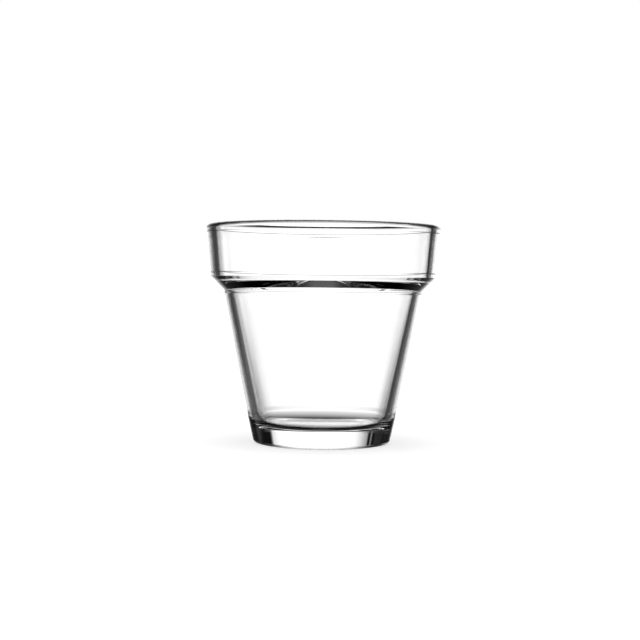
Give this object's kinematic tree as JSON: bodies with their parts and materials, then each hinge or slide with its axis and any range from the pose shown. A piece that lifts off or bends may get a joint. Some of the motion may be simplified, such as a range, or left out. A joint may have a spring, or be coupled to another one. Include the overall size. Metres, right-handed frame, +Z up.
{
  "type": "water glass",
  "caption": "Clear pressed-glass tumbler shaped like a flower pot, with a rounded lip, a stepped collar, a tapered body and a thick solid base, for drinking water.",
  "frame": {"origin": "on the axis of the glass, in the plane that it stands on", "axes": "+Z up along the axis of the glass, from the base to the mouth; X and Y are level and alike, because the glass is round"},
  "size_m": [0.0864, 0.0864, 0.08],
  "materials": {
    "clear_glass": "fire-polished clear soda-lime glass"
  },
  "bodies": {
    "root": {"glass_body": "clear_glass"}
  },
  "joints": []
}
